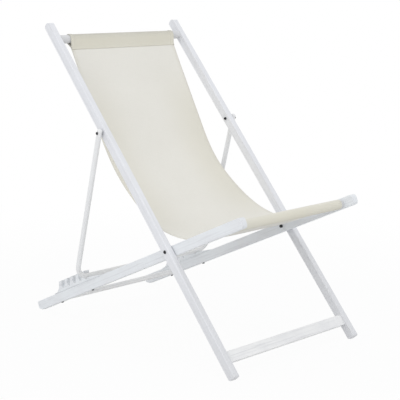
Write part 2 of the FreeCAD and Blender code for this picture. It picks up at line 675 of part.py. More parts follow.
doc.recompute()
for item in doc.Objects:
    if "Invalid" in item.State or "Error" in item.State:
        raise RuntimeError(f"{item.Label} failed to build")
for node in NODES:
    if node.Shape.isNull() or not node.Shape.isValid():
        raise RuntimeError(f"{node.Label} has no sound shape")

os.makedirs("parts", exist_ok=True)
for node in NODES:
    node.Shape.exportStep(f"parts/{node.Label}.step")
    box = node.Shape.BoundBox
    print(f"{node.Label}: {len(node.Shape.Solids)} solids, {node.Shape.Volume / 1000:.1f} cm3, "
          f"y {box.YMin:.1f} to {box.YMax:.1f}, z {box.ZMin:.1f} to {box.ZMax:.1f}")
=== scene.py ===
import json
import math
from functools import partial

import bmesh
import bpy
import numpy as np
from mathutils import Matrix, Vector

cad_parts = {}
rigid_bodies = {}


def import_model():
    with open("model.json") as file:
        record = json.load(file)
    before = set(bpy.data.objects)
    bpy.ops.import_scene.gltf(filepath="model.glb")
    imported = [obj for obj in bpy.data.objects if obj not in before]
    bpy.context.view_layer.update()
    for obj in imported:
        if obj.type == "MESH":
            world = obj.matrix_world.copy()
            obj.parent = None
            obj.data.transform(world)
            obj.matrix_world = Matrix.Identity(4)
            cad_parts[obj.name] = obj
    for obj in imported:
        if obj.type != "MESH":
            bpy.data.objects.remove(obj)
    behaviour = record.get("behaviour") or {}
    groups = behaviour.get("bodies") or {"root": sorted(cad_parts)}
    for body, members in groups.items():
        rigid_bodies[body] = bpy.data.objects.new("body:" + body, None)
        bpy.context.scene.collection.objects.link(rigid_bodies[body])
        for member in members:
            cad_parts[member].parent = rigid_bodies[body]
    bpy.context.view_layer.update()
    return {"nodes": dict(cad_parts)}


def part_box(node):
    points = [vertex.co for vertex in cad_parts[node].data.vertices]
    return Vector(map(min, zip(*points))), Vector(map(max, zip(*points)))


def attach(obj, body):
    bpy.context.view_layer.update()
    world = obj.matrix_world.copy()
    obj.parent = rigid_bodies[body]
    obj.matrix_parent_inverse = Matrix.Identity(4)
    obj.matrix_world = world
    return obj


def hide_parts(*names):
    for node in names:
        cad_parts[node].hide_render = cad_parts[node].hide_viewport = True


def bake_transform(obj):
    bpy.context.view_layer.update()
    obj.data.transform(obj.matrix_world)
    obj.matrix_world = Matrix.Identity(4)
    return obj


for leftover in list(bpy.data.objects):  # start from an empty scene
    bpy.data.objects.remove(leftover)
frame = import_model()
print("frame loaded with", len(frame["nodes"]), "nodes")


# small helpers
def addNode(tree, kind, inputs=None, **settings):
    node = tree.nodes.new(kind)
    for key, value in settings.items():
        setattr(node, key, value)
    for key, value in (inputs or {}).items():
        if isinstance(value, bpy.types.NodeSocket):
            tree.links.new(value, node.inputs[key])
        else:
            node.inputs[key].default_value = value
    return node


def newFinish(name, **sockets):
    finish = bpy.data.materials.new(name)
    finish.use_nodes = True
    shader = finish.node_tree.nodes["Principled BSDF"]
    for key, value in sockets.items():
        shader.inputs[key.replace("_", " ")].default_value = value
    return finish, finish.node_tree, shader


def objectPlace(tree):
    return addNode(tree, "ShaderNodeTexCoord").outputs["Object"]


def stretch(tree, place, size, turn=0.0):  # one unit of a pattern gets this size
    return addNode(tree, "ShaderNodeMapping", {
        "Vector": place, "Rotation": (math.radians(turn), 0, 0), "Scale": size,
    }, vector_type="TEXTURE").outputs[0]


def blotches(tree, place, scale, detail, **more):
    return addNode(tree, "ShaderNodeTexNoise", {
        "Vector": place, "Scale": scale, "Detail": detail, **more,
    }).outputs["Fac"]


def spread(tree, value, low, high, start=0.0, end=1.0, **settings):  # turn start..end into low..high
    return addNode(tree, "ShaderNodeMapRange", {
        "Value": value, "From Min": start, "From Max": end, "To Min": low, "To Max": high,
    }, **settings).outputs[0]


def mixColour(tree, factor, first, second):
    return addNode(tree, "ShaderNodeMix", {
        "Factor": factor, 6: first, 7: second,
    }, data_type="RGBA").outputs[2]


def combine(tree, first, second, operation="ADD"):
    return addNode(tree, "ShaderNodeMath", {0: first, 1: second}, operation=operation).outputs[0]


def emboss(tree, shader, height, depth, strength, **settings):
    bump = addNode(tree, "ShaderNodeBump", {
        "Strength": strength, "Distance": depth, "Height": height,
    }, **settings)
    tree.links.new(bump.outputs[0], shader.inputs["Normal"])


def seenDirectly(tree):  # rays that show plain white paper
    light = addNode(tree, "ShaderNodeLightPath").outputs
    seen = combine(tree, light["Is Camera Ray"], light["Is Glossy Ray"], "MAXIMUM")
    return combine(tree, seen, light["Is Transmission Ray"], "MAXIMUM")


def dressNodes(finish, *names):
    for name in names:
        slots = frame["nodes"][name].data.materials
        slots.clear()
        slots.append(finish)


def finishPiece(name, bm, finish, smooth=True, weld=1e-6):
    bmesh.ops.remove_doubles(bm, verts=bm.verts, dist=weld)
    bmesh.ops.recalc_face_normals(bm, faces=bm.faces)
    mesh = bpy.data.meshes.new(name)
    bm.to_mesh(mesh)
    bm.free()
    mesh.materials.append(finish)
    for face in mesh.polygons:
        face.use_smooth = smooth
    piece = bpy.data.objects.new(name, mesh)
    bpy.context.scene.collection.objects.link(piece)
    return piece


def sideMiddle(node):  # middle of a CAD node in side view
    low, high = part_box(node)
    return np.array([(low.y + high.y) / 2, (low.z + high.z) / 2])


# white paint on wood
woodPaint = {
    "rails": (0.80, 0.805, 0.835, 1),
    "seatRails": (0.81, 0.832, 0.855, 1),
    "slats": (0.89, 0.888, 0.888, 1),
    # painted shade: the dowels are greyer than the other paint, for the shade between the rails and the
    # cloth
    "dowels": (0.67, 0.67, 0.672, 1),
    "pore": (0.66, 0.66, 0.685, 1),
    "poreFrom": (0.52, 0.72),  # part of the grain that shows as pores
    "poreShare": 0.65,
    "cloudy": (0.765, 0.765, 0.785, 1),
    "cloudFrom": (0.4, 0.75),
    "cloudShare": 0.6,
    # painted shade: the back rails get darker towards the bottom
    "lowShadeTone": (0.66, 0.66, 0.67, 1),
    "lowShadeShare": 0.45,
    "lowShadeTo": 0.40,  # height that the painted shade reaches
    "grainSize": (0.0055, 0.22, 0.0055),  # across, along, through
    "brushSize": (0.0009, 0.055, 0.0009),
    "cloudSize": 0.09,
    "grainRelief": 0.7,
    "brushRelief": 0.3,
    "grainDepth": 0.00035,
    "reliefStrength": 0.5,
    "roughness": (0.36, 0.52),
}


def paintedWood(name, colour, turn=0.0, crosswise=False, shadedBelow=False):
    finish, tree, shader = newFinish(name, Coat_Weight=0.08, Coat_Roughness=0.35, Specular_IOR_Level=0.38)
    place = objectPlace(tree)

    def along(size):  # stretch the pattern along the member
        across, length, through = size
        return stretch(tree, place, (length, across, through) if crosswise else size, turn)

    grain = blotches(tree, along(woodPaint["grainSize"]), 1.0, detail=4.0, Roughness=0.55, Distortion=0.6)
    brush = blotches(tree, along(woodPaint["brushSize"]), 1.0, detail=2.0)
    cloud = blotches(tree, place, 1 / woodPaint["cloudSize"], detail=3.0)
    clouds = spread(tree, cloud, 0.0, woodPaint["cloudShare"], *woodPaint["cloudFrom"])
    base = mixColour(tree, clouds, colour, woodPaint["cloudy"])
    # painted shade, darker towards the bottom of the back rails
    if shadedBelow:
        height = addNode(tree, "ShaderNodeSeparateXYZ", {0: place}).outputs["Z"]
        low = spread(tree, height, woodPaint["lowShadeShare"], 0.0, 0.0, woodPaint["lowShadeTo"])
        base = mixColour(tree, low, base, woodPaint["lowShadeTone"])
    pores = spread(tree, grain, 0.0, woodPaint["poreShare"], *woodPaint["poreFrom"])
    tree.links.new(mixColour(tree, pores, base, woodPaint["pore"]), shader.inputs["Base Color"])
    tree.links.new(spread(tree, cloud, *woodPaint["roughness"]), shader.inputs["Roughness"])
    relief = combine(tree, combine(tree, grain, woodPaint["grainRelief"], "MULTIPLY"),
                     combine(tree, brush, woodPaint["brushRelief"], "MULTIPLY"))
    emboss(tree, shader, relief, woodPaint["grainDepth"], woodPaint["reliefStrength"], invert=True)
    return finish


backAngle, seatAngle = 49.0, 24.8  # slope of the rails, in degrees
backPaint = paintedWood("back frame paint", woodPaint["rails"], turn=backAngle, shadedBelow=True)
seatPaint = paintedWood("seat frame paint", woodPaint["seatRails"], turn=-seatAngle)
slatPaint = paintedWood("slat paint", woodPaint["slats"], crosswise=True)
# the dowels' grey paint is painted shade
dowelShadePaint = paintedWood("dowel paint with painted shade", woodPaint["dowels"], crosswise=True)
dressNodes(backPaint, "back_rail_left", "back_rail_right")
dressNodes(seatPaint, "seat_rail_left", "seat_rail_right", "rack_left", "rack_right")
dressNodes(slatPaint, "front_stretcher", "rear_stretcher")
dressNodes(dowelShadePaint, "top_dowel", "front_dowel")
print("wood painted")

# powder coat on the prop tube
tubeCoat = {
    "colour": (0.84, 0.84, 0.845, 1),
    "thin": (0.78, 0.78, 0.785, 1),
    "thinShare": (-0.4, 1.1),
    "peelSize": 0.0016,
    "patchSize": 0.07,
    "roughness": (0.26, 0.36),
    "peelDepth": 0.00012,
    "peelStrength": 0.35,
}
coat, tree, shader = newFinish("powder coat", Coat_Weight=0.25, Coat_Roughness=0.18, Specular_IOR_Level=0.5)
place = objectPlace(tree)
peel = blotches(tree, place, 1 / tubeCoat["peelSize"], detail=1.0)
patch = blotches(tree, place, 1 / tubeCoat["patchSize"], detail=3.0)
tone = mixColour(tree, spread(tree, patch, *tubeCoat["thinShare"]), tubeCoat["colour"], tubeCoat["thin"])
tree.links.new(tone, shader.inputs["Base Color"])
tree.links.new(spread(tree, patch, *tubeCoat["roughness"]), shader.inputs["Roughness"])
emboss(tree, shader, peel, tubeCoat["peelDepth"], tubeCoat["peelStrength"])
dressNodes(coat, "prop_tube")

# dark steel for bolts, nuts and screws
boltSteel = {
    "bare": (0.07, 0.07, 0.073, 1),
    "bareShare": (-0.5, 1.2),
    "blued": (0.018, 0.018, 0.021, 1),
    "stainSize": 0.006,
    "scratchSize": 0.0006,
    "roughness": (0.42, 0.62),
    "scratchDepth": 0.00005,
    "scratchStrength": 0.3,
}
steel, tree, shader = newFinish("dark steel", Metallic=0.5, Specular_IOR_Level=0.3)
place = objectPlace(tree)
stain = blotches(tree, place, 1 / boltSteel["stainSize"], detail=4.0)
scratch = blotches(tree, place, 1 / boltSteel["scratchSize"], detail=1.0)
tone = mixColour(tree, spread(tree, stain, *boltSteel["bareShare"]), boltSteel["blued"], boltSteel["bare"])
tree.links.new(tone, shader.inputs["Base Color"])
tree.links.new(spread(tree, stain, *boltSteel["roughness"]), shader.inputs["Roughness"])
emboss(tree, shader, scratch, boltSteel["scratchDepth"], boltSteel["scratchStrength"])

# zinc plate on washers and spacers
zincPlate = {
    "bright": (0.62, 0.63, 0.645, 1),
    "dull": (0.45, 0.46, 0.475, 1),
    "bloomSize": 0.004,
    "roughness": (0.34, 0.52),
}
zinc, tree, shader = newFinish("zinc plate", Metallic=0.7)
bloom = blotches(tree, objectPlace(tree), 1 / zincPlate["bloomSize"], detail=3.0)
tree.links.new(mixColour(tree, bloom, zincPlate["bright"], zincPlate["dull"]), shader.inputs["Base Color"])
tree.links.new(spread(tree, bloom, *zincPlate["roughness"]), shader.inputs["Roughness"])
dressNodes(zinc, "main_nut_washers", "main_spacers", "prop_nut_washers", "prop_spacers")
print("metal finished")


# bolts, nuts and screws
def hexReach(angle, flat, trim=math.inf):  # middle to the edge of a hexagon with trimmed corners
    return min(flat / math.cos((angle + math.pi / 6) % (math.pi / 3) - math.pi / 6), trim)


def crossReach(angle, arm, half, least=1e-6):  # middle to the edge of a cross slot
    c, s = max(abs(math.cos(angle)), least), max(abs(math.sin(angle)), least)
    return max(min(arm / c, half / s), min(half / c, arm / s))


def stackRings(bm, rings, place, count=36, closeEnd=True):
    # each ring: height and reach, a number or a function of the angle
    made = bmesh.ops.create_circle(bm, segments=count, radius=1.0, cap_ends=False)["verts"]
    edges = list({edge for vert in made for edge in vert.link_edges})
    angles = {vert: math.atan2(vert.co.y, vert.co.x) for vert in made}
    allVerts = list(made)
    for number, (height, reach) in enumerate(rings):
        if number:
            grown = bmesh.ops.extrude_edge_only(bm, edges=edges)["geom"]
            verts = [item for item in grown if isinstance(item, bmesh.types.BMVert)]
            edges = [item for item in grown if isinstance(item, bmesh.types.BMEdge)]
            edges = [edge for edge in edges if all(vert in verts for vert in edge.verts)]
            angles = {vert: math.atan2(vert.co.y, vert.co.x) for vert in verts}
            allVerts += verts
        for vert, angle in angles.items():
            far = reach(angle) if callable(reach) else reach
            vert.co = (far * math.cos(angle), far * math.sin(angle), height)
    if closeEnd:
        bmesh.ops.holes_fill(bm, edges=edges, sides=count)
    bmesh.ops.transform(bm, matrix=place, verts=allVerts)


def facing(x, y, z, outward):  # a frame with its local z along +X or -X
    return Matrix.Translation((x, y, z)) @ Matrix.Rotation(outward * math.pi / 2, 4, "Y")


pivotBolts = {
    "main": {"head": 0.0055, "rise": 0.0034, "socket": 0.0019, "shank": 0.003, "tail": 0.002,
             "nutFrom": 0.2404, "nutThick": 0.005, "nutFlat": 0.005, "body": "seat_frame"},
    "prop": {"head": 0.00475, "rise": 0.003, "socket": 0.0016, "shank": 0.0025, "tail": 0.002,
             "nutFrom": 0.2644, "nutThick": 0.004, "nutFlat": 0.004, "body": "back_frame"},
}
boltForm = {
    # the head's outline, in shares of its rise and radius
    "dome": ((0, 0.97), (0.08, 1), (0.42, 1), (0.62, 0.955), (0.82, 0.84), (0.95, 0.68), (1, 0.52)),
    "socketMouth": 1.05,      # share of the socket
    "socketLip": 0.93,        # shares of the rise
    "socketFloor": 0.35,
    "threadPitch": 0.001,
    "threadInNut": 0.0015,
    "threadRoot": 0.87,       # shares of the shank
    "threadTip": 0.8,
    "nutBore": 1.02,
    "nutMouth": 1.22,
    "nutTrim": 1.03,          # share of the flats
    "nutFlanks": (0.09, 0.86),   # shares of the thickness
    "nutMouthFrom": 0.9,
}
for kind, spec in pivotBolts.items():
    head, rise, shank, flat = spec["head"], spec["rise"], spec["shank"], spec["nutFlat"]
    socket = partial(hexReach, flat=spec["socket"])
    headRings = [(0, shank)] + [(rise * up, head * out) for up, out in boltForm["dome"]] + [
        (rise, partial(hexReach, flat=spec["socket"] * boltForm["socketMouth"])),
        (rise * boltForm["socketLip"], socket), (rise * boltForm["socketFloor"], socket),
    ]
    threadLength, pitch = boltForm["threadInNut"] + spec["tail"], boltForm["threadPitch"]
    threadRings = [(0, shank)]
    for step in range(int(threadLength / pitch * 2)):
        threadRings.append(((step + 1) * pitch / 2, shank * (1.0 if step % 2 else boltForm["threadRoot"])))
    threadRings.append((threadLength, shank * boltForm["threadTip"]))
    thick, bore = spec["nutThick"], shank * boltForm["nutBore"]
    flank = partial(hexReach, flat=flat)
    trimmed = partial(hexReach, flat=flat, trim=flat * boltForm["nutTrim"])
    nutRings = [
        (0, bore), (0, trimmed), *((thick * share, flank) for share in boltForm["nutFlanks"]),
        (thick, trimmed), (thick, shank * boltForm["nutMouth"]),
        (thick * boltForm["nutMouthFrom"], bore), (0, bore),
    ]
    y, z = sideMiddle(f"{kind}_bolts")
    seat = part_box(f"{kind}_bolts")[1].x - rise
    threadFrom = spec["nutFrom"] - thick + boltForm["threadInNut"]
    bolts, nuts = bmesh.new(), bmesh.new()
    for side in (1, -1):
        stackRings(bolts, headRings, facing(side * seat, y, z, side))
        stackRings(bolts, threadRings, facing(side * threadFrom, y, z, -side))
        stackRings(nuts, nutRings, facing(side * spec["nutFrom"], y, z, -side), closeEnd=False)
    boltPiece = finishPiece(f"{kind}PivotBolts", bolts, steel, smooth=False)
    nutPiece = finishPiece(f"{kind}PivotNuts", nuts, steel, smooth=False)
    for piece, node in ((boltPiece, f"{kind}_bolts"), (nutPiece, f"{kind}_nuts")):
        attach(piece, spec["body"])
        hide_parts(node)

rackScrew = {
    "head": 0.0045,
    "rise": 0.003,
    # the head's outline, in shares of its rise and radius
    "pan": ((0, 0.96), (0.1, 1), (0.45, 1), (0.72, 0.92), (0.92, 0.76), (1, 0.6)),
    "arm": 0.0024,            # halves of the cross slot's length and width
    "half": 0.00065,
    "recess": 0.0016,
    "recessTaper": (0.6, 0.7),
    "shank": 0.00225,
    "point": 0.6,             # share of the shank
    "length": 0.012,
    "alongSeat": (0.447, 0.638),   # from the main pivot
    "underside": -0.020,
    "across": 0.258,
    "turns": (0.4, 0.9, 0.5),      # no two screws stop alike
}
pivotAt = Vector((0, *sideMiddle("main_bolts")))
tilt = math.radians(seatAngle)
seatAlong = Vector((0, math.cos(tilt), -math.sin(tilt)))
seatUp = Vector((0, math.sin(tilt), math.cos(tilt)))
screws = bmesh.new()
head, rise, arm, slit = (rackScrew[key] for key in ("head", "rise", "arm", "half"))
taperArm, taperHalf = rackScrew["recessTaper"]
screwRings = [(-rackScrew["length"], rackScrew["shank"] * rackScrew["point"]), (0, rackScrew["shank"])]
screwRings += [(rise * up, head * out) for up, out in rackScrew["pan"]]
screwRings += [
    (rise, partial(crossReach, arm=arm, half=slit)),
    (rise - rackScrew["recess"], partial(crossReach, arm=arm * taperArm, half=slit * taperHalf)),
]
firstTurn, nextTurn, sideTurn = rackScrew["turns"]
outOfSeat = (-seatUp).to_track_quat("Z", "X").to_matrix().to_4x4()
for side in (1, -1):
    for number, along in enumerate(rackScrew["alongSeat"]):
        spot = pivotAt + seatAlong * along + seatUp * rackScrew["underside"]
        spot += Vector((side * rackScrew["across"], 0, 0))
        turn = Matrix.Rotation(firstTurn + nextTurn * number + sideTurn * side, 4, "Z")
        stackRings(screws, screwRings, Matrix.Translation(spot) @ outOfSeat @ turn, count=48)
screwPiece = finishPiece("rackScrewHeads", screws, steel, smooth=False)
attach(screwPiece, "seat_frame")
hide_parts("rack_screws")
print("hardware modelled")

# canvas sling
slingCut = {
    "halfWidth": 0.229,
    "hem": 0.012,
    "thick": 0.0011,
    "layer": 0.0012,          # middle to middle of two layers
    "seamAt": 0.032,          # dowel's middle to the tunnel seam
    "flapTail": 0.007,        # cloth past the seam
    "dowelRadius": 0.014,
    "slack": 0.0005,          # between dowel and cloth
    "backBend": (0.291, 0.150, 0.545),   # from the main pivot: y, z and radius
    "seatBend": (-0.0195, 0.0047, 0.330),
    "seamEase": 0.030,        # radius at the seams
    "tunnelEnds": (0.09, 0.3),     # a main seam lies between these, from the cloth's end
    "seatEnds": (0.3, 0.2),        # the seat's bend lies past these
    "sag": 0.010,             # across the width, in the middle
    "sagPower": 4,
    "freeFrom": 0.15,         # the cloth hangs freely this far from a seam
    "pucker": 0.00035,
    "puckerPitch": 0.0135,
    "puckerReach": 0.016,
    "edgeWave": 0.0012,
    "edgePower": 5,
    "waveLengths": (0.37, 0.21),
    "shortWaveShare": 0.5,
    "waveShift": 1.1,         # between the two edges
    "slackEdge": 0.007,       # the right-hand edge hangs lower over the seat
    "slackReach": 0.11,       # along the cloth
    "slackBehind": 0.09,      # middle of the slack, behind the seat's bend
    "slackFrom": 0.3,         # share of the half width, left of the middle
    "outsideFrom": 0.06,      # past a seam, where a tunnel's face turns outwards
    "bulkEnd": (0.045, 0.018),     # hems under the front flap, from the cloth's end
    "bulkSide": (0.022, 0.012),    # and from its edges
    "columnStep": 0.008,
    "rowStep": 0.009,
    "loopStep": 0.003,
    "loopMargin": 0.03,
    "hemTurn": ((1.2, 0.3), (1, 0.92), (0.5, 1), (0.1, 1)),   # shares of the hem, and of a layer behind
    "hemFold": ((0.0001, 0.8), (0.0003, 0.45), (0.0001, 0.12)),   # past the edge, share of a layer behind
    "bendFrom": (-0.02, 0.035),    # from the main pivot: where the fold of the cloth starts and ends
    "bendTo": (0.11, 0.06),
}


def unit(vector):
    return vector / np.linalg.norm(vector)


def roundedRoute(corners, step=0.0008, straight=1e-4):
    points = [corners[0][0]]
    for (before, _), (corner, radius), (after, _) in zip(corners, corners[1:], corners[2:]):
        inward, outward = unit(before - corner), unit(after - corner)
        turn = math.pi - math.acos(np.clip(inward @ outward, -1, 1))
        if turn < straight:
            continue
        centre = corner + unit(inward + outward) * radius / math.cos(turn / 2)
        reach = radius * math.tan(turn / 2)
        first = corner + inward * reach - centre
        sweep = turn * np.sign(first[0] * -inward[1] - first[1] * -inward[0])
        start = math.atan2(first[1], first[0])
        for angle in np.linspace(start, start + sweep, max(3, int(radius * turn / step))):
            points.append(centre + radius * np.array([math.cos(angle), math.sin(angle)]))
    points.append(corners[-1][0])
    return np.array(points)


def loopCorners(centre, toSeam, side, radius, seamAt):
    # two corners whose rounding wraps a dowel, first on the given side
    contact = math.acos(radius / seamAt)
    far = radius / math.cos((math.pi - contact) / 2)
    middle = (math.pi + contact) / 2
    return [(centre + far * (math.cos(middle) * toSeam + sign * math.sin(middle) * side), radius)
            for sign in (1, -1)]


mainPivot = sideMiddle("main_bolts")
topDowel, frontDowel = sideMiddle("top_dowel"), sideMiddle("front_dowel")
backBend = mainPivot + np.array(slingCut["backBend"][:2])
seatBend = mainPivot + np.array(slingCut["seatBend"][:2])
topDown, frontBack = unit(backBend - topDowel), unit(seatBend - frontDowel)
sitterTop = np.array([topDown[1], -topDown[0]])        # towards the sitter
sitterFront = np.array([-frontBack[1], frontBack[0]])
layer, ease, tail = slingCut["layer"], slingCut["seamEase"], slingCut["flapTail"]
snug = slingCut["dowelRadius"] + slingCut["slack"] + slingCut["thick"] / 2
topSeam = topDowel + topDown * slingCut["seamAt"]
frontSeam = frontDowel + frontBack * slingCut["seamAt"]
corners = [
    (topSeam + topDown * tail + sitterTop * layer, 0),
    (topSeam + sitterTop * layer, ease),
    *loopCorners(topDowel, topDown, sitterTop, snug, slingCut["seamAt"]),
    (topSeam, ease),
    (backBend, slingCut["backBend"][2]),
    (seatBend, slingCut["seatBend"][2]),
    (frontSeam, ease),
    *loopCorners(frontDowel, frontBack, sitterFront, snug, slingCut["seamAt"]),
    (frontSeam - sitterFront * layer, ease),
    (frontSeam + frontBack * tail - sitterFront * layer, 0),
]
route = roundedRoute(corners)
mileage = np.concatenate([[0], np.cumsum(np.linalg.norm(np.diff(route, axis=0), axis=1))])
slingLength = mileage[-1]


def onRoute(distance):
    return np.array([np.interp(distance, mileage, route[:, 0]), np.interp(distance, mileage, route[:, 1])])


def sitterSide(distance, nudge=0.0006):  # normal of the cloth's face
    ahead = unit(onRoute(min(distance + nudge, slingLength)) - onRoute(max(distance - nudge, 0)))
    return np.array([ahead[1], -ahead[0]])


def nearestOn(point, low, high):
    picks = np.where((mileage >= low) & (mileage <= high))[0]
    return mileage[picks[np.argmin(np.linalg.norm(route[picks] - point, axis=1))]]


tunnelLeast, tunnelMost = slingCut["tunnelEnds"]
topFlapSeam = tail
topMainSeam = nearestOn(topSeam, tunnelLeast, tunnelMost)
frontMainSeam = nearestOn(frontSeam, slingLength - tunnelMost, slingLength - tunnelLeast)
frontFlapSeam = slingLength - tail
seatAt = nearestOn(seatBend, slingCut["seatEnds"][0], slingLength - slingCut["seatEnds"][1])
slackAt = seatAt - slingCut["slackBehind"]
half, hem = slingCut["halfWidth"], slingCut["hem"]
print("sling cut", round(2 * (half + hem), 4), "by", round(slingLength, 4),
      "m, seams at", round(topMainSeam, 4), round(frontMainSeam, 4))


def smoothStep(value, low, high):
    share = np.clip((value - low) / (high - low), 0, 1)
    return share * share * (3 - 2 * share)


def clothLift(x, distance):
    # soft unevenness of the cloth, towards the sitter
    lift = 0.0
    for seam in (topFlapSeam, topMainSeam, frontMainSeam, frontFlapSeam):
        near = math.exp(-((distance - seam) / slingCut["puckerReach"]) ** 2)
        lift += near * slingCut["pucker"] * math.sin(2 * math.pi * x / slingCut["puckerPitch"])
    free = smoothStep(distance, topMainSeam, topMainSeam + slingCut["freeFrom"])
    free *= 1 - smoothStep(distance, frontMainSeam - slingCut["freeFrom"], frontMainSeam)
    edge = abs(x / half) ** slingCut["edgePower"]
    longWave, shortWave = (2 * math.pi * distance / length for length in slingCut["waveLengths"])
    wave = math.sin(longWave + slingCut["waveShift"] * np.sign(x))
    wave += slingCut["shortWaveShare"] * math.sin(shortWave)
    sag = slingCut["sag"] * (1 - (x / half) ** slingCut["sagPower"])
    lift += free * (edge * slingCut["edgeWave"] * wave - sag)
    slack = smoothStep(-x, -slingCut["slackFrom"] * half, half)
    slack *= math.exp(-((distance - slackAt) / slingCut["slackReach"]) ** 2)
    lift -= slingCut["slackEdge"] * slack
    outside = slingCut["outsideFrom"]
    return -lift if distance < topMainSeam - outside or distance > frontMainSeam + outside else lift


def hemBulk(x, distance):
    # the front flap stands off where hems lie between the layers
    endFrom, endTo = slingCut["bulkEnd"]
    sideFrom, sideTo = slingCut["bulkSide"]
    onFlap = smoothStep(distance, slingLength - endFrom, slingLength - endTo)
    return 2 * layer * onFlap * smoothStep(abs(x), half - sideFrom, half - sideTo)


def clothPoint(x, drop, distance):
    # a point of the cloth; drop is the distance behind its face
    middle, face = onRoute(distance), sitterSide(distance)
    spot = middle + face * (clothLift(x, distance) + hemBulk(x, distance) - drop)
    return Vector((x, spot[0], spot[1]))


canvas = {
    "colour": (0.855, 0.833, 0.776, 1),
    "shadeYarn": (0.77, 0.75, 0.682, 1),
    # painted shade: a darker tone on the doubled tunnel bands, over the hems and near the edges in the
    # middle
    "clothShade": (0.75, 0.718, 0.612, 1),
    "topBand": (0.09, 0.005),        # painted shade on the doubled band ends past the flap's seam, before the main seam
    "frontBand": (0.020, 0.060),     # and starts again past the main seam
    "hemShare": 0.3,
    "hemBlur": 0.003,
    # painted shade along the edges in the middle of the sling
    "edgeShadeShare": 0.7,
    "edgeShadeTop": 0.3,                # from the top seam
    "edgeShadeSide": 0.19,              # from the edges
    "edgeShadeFront": (0.45, 0.2),      # from the front seam
    # painted shade on the top of the top tunnel
    "tunnelTopShade": (0.52, 0.50, 0.435, 1),
    "tunnelTopShadeFrom": (0.030, 0.058),   # painted shade over the top dowel, from the flap's end
    "tunnelTopShadeTo": (0.070, 0.095),
    "yarn": 0.0011,
    "slubAlong": 0.030,
    "yarnDepth": 0.00022,
    "fadeSize": 0.16,
    "weaveShade": (0.22, 0.0),
    "slubShade": (-0.5, 0.75),
    "fadeShade": (-0.3, 0.3),
    "slubRelief": 0.6,
    "reliefStrength": 0.45,
}


# painted shade: darker cloth on the tunnel bands, over the hems and near the edges in the middle
def clothShadeTone(x, distance):
    pastFlap, beforeSeam = canvas["topBand"]
    band = 1 - smoothStep(distance, topFlapSeam + pastFlap, topMainSeam - beforeSeam)
    bandFrom, bandTo = canvas["frontBand"]
    band = max(band, smoothStep(distance, frontMainSeam + bandFrom, frontMainSeam + bandTo))
    # painted shade near the edges, between the seams
    edgeShade = smoothStep(distance, topMainSeam, topMainSeam + canvas["edgeShadeTop"])
    edgeShade *= smoothStep(abs(x), half - canvas["edgeShadeSide"], half)
    edgeShadeFadeFrom, edgeShadeFadeTo = canvas["edgeShadeFront"]
    edgeShade *= 1 - smoothStep(distance, frontMainSeam - edgeShadeFadeFrom, frontMainSeam - edgeShadeFadeTo)
    overHem = smoothStep(abs(x), half - hem - canvas["hemBlur"], half - hem + canvas["hemBlur"])
    return max(band, canvas["edgeShadeShare"] * edgeShade, canvas["hemShare"] * overHem)


# painted shade over the top of the top tunnel
def tunnelTopShadeTone(distance):
    fading = 1 - smoothStep(distance, *canvas["tunnelTopShadeTo"])
    return smoothStep(distance, *canvas["tunnelTopShadeFrom"]) * fading


inner = np.linspace(-half, half, int(round(2 * half / slingCut["columnStep"])) + 1)
turned = [(half - hem * share, layer * depth) for share, depth in slingCut["hemTurn"]]
turned += [(half + past, layer * depth) for past, depth in slingCut["hemFold"]]
columns = [(-x, drop) for x, drop in turned]
columns += [(x, 0.0) for x in inner]
columns += [(x, drop) for x, drop in reversed(turned)]
strides = [math.hypot(b[0] - a[0], b[1] - a[1]) for a, b in zip(columns, columns[1:])]
flatAcross = np.concatenate([[0], np.cumsum(strides)])
loopStep, margin = slingCut["loopStep"], slingCut["loopMargin"]
topEnd, frontStart = topMainSeam + margin, frontMainSeam - margin
topRows = np.linspace(0, topEnd, int(topEnd / loopStep))
frontRows = np.linspace(frontStart, slingLength, int((slingLength - frontMainSeam + margin) / loopStep))
spanRows = np.linspace(topEnd, frontStart, int((frontStart - topEnd) / slingCut["rowStep"]))
rows = np.concatenate([topRows, spanRows[1:-1], frontRows])

bm = bmesh.new()
bmesh.ops.create_grid(bm, x_segments=len(columns) - 1, y_segments=len(rows) - 1, size=1)
uvLayer = bm.loops.layers.uv.new("cut")
# attributes that carry the painted shade on the cloth
clothShade = bm.verts.layers.float.new("clothShade")
tunnelTopShade = bm.verts.layers.float.new("tunnelTopShade")
cutPlace = {}
for vert in bm.verts:
    column = round((vert.co.x + 1) / 2 * (len(columns) - 1))
    row = round((vert.co.y + 1) / 2 * (len(rows) - 1))
    (x, drop), distance = columns[column], rows[row]
    cutPlace[vert] = (flatAcross[column], distance)
    vert[clothShade] = clothShadeTone(x, distance)
    vert[tunnelTopShade] = tunnelTopShadeTone(distance)
    vert.co = clothPoint(x, drop, distance)
for face in bm.faces:
    for loop in face.loops:
        loop[uvLayer].uv = cutPlace[loop.vert]
print("sling grid", len(columns), "by", len(rows))

cloth, tree, shader = newFinish("cream canvas", Roughness=0.88, Specular_IOR_Level=0.22, Sheen_Weight=0.12,
                                Sheen_Roughness=0.5)
cut = addNode(tree, "ShaderNodeUVMap", uv_map="cut").outputs[0]
yarns = stretch(tree, cut, (canvas["yarn"],) * 3)
threads = {"Vector": yarns, "Scale": math.pi / 10}   # one wave for each yarn
warp = addNode(tree, "ShaderNodeTexWave", threads, bands_direction="X").outputs["Fac"]
weft = addNode(tree, "ShaderNodeTexWave", threads, bands_direction="Y").outputs["Fac"]
over = addNode(tree, "ShaderNodeTexChecker", {"Vector": yarns, "Scale": 1.0}).outputs["Fac"]
weave = addNode(tree, "ShaderNodeMix", {0: over, 2: warp, 3: weft}).outputs[0]
slubs = [blotches(tree, stretch(tree, cut, size), 1.0, detail=2.0) for size in (
    (canvas["yarn"], canvas["slubAlong"], 1), (canvas["slubAlong"], canvas["yarn"], 1),
)]
slub = combine(tree, combine(tree, *slubs), 0.5, "MULTIPLY")
